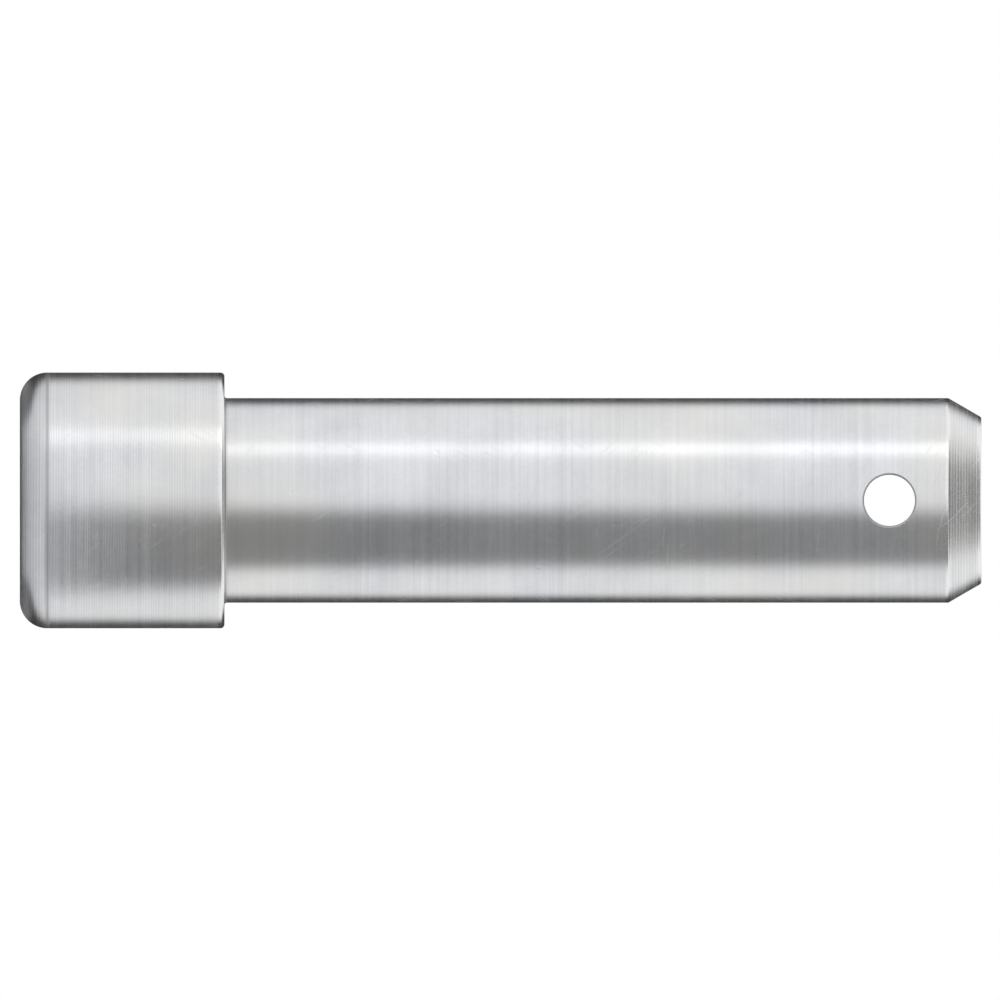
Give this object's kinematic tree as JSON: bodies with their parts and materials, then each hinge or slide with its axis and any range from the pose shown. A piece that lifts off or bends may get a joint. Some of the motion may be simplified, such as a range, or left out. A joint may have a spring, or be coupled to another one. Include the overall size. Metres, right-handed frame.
{
  "type": "lift link pin",
  "caption": "Headed steel pin with a rounded cylindrical head, a plain shank, a cross hole for a retaining clip and a tapered tip; it joins a lift link to a lower arm.",
  "frame": {"origin": "on the pin's axis, in the plane of the shoulder under the head", "axes": "+Z along the pin's axis from the head to the tip, +Y along the cross hole; the pin stands upright on the flat end of its head"},
  "size_m": [0.0318, 0.0318, 0.1194],
  "materials": {
    "plated_steel": "turned and ground carbon steel, bright zinc plated and clear passivated"
  },
  "bodies": {
    "root": {"lift_link_pin": "plated_steel"}
  },
  "joints": []
}
